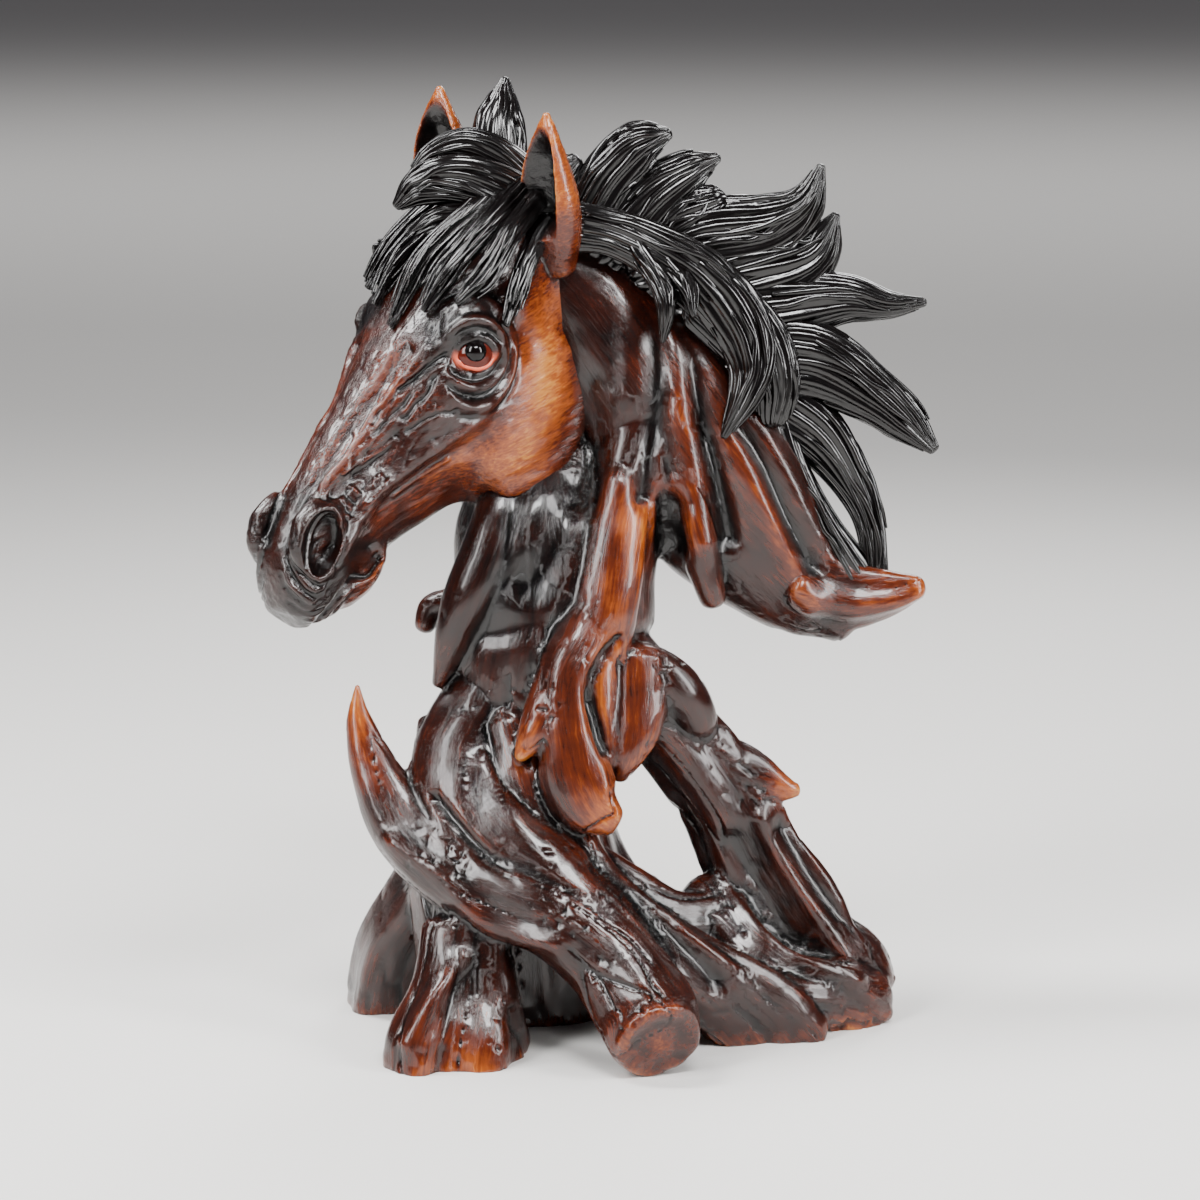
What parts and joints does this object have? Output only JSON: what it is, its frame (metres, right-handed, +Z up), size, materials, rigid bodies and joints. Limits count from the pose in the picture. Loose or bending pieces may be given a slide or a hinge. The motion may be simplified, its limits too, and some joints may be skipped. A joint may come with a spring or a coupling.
{
  "type": "horse head figurine",
  "caption": "Cast resin horse head with a windswept mane, rising from a driftwood stand of twisted roots, lacquered dark brown.",
  "frame": {"origin": "on the surface the stand rests on, at the centre of the bounding box seen from above", "axes": "+Z up, the horse looks towards -X and -Y, the mane streams towards +X"},
  "size_m": [0.221, 0.1398, 0.3109],
  "materials": {
    "lacquered_resin": "cast polyresin, painted in dark browns and black, high gloss lacquer"
  },
  "bodies": {
    "root": {"horse_head_figurine": "lacquered_resin"}
  },
  "joints": []
}
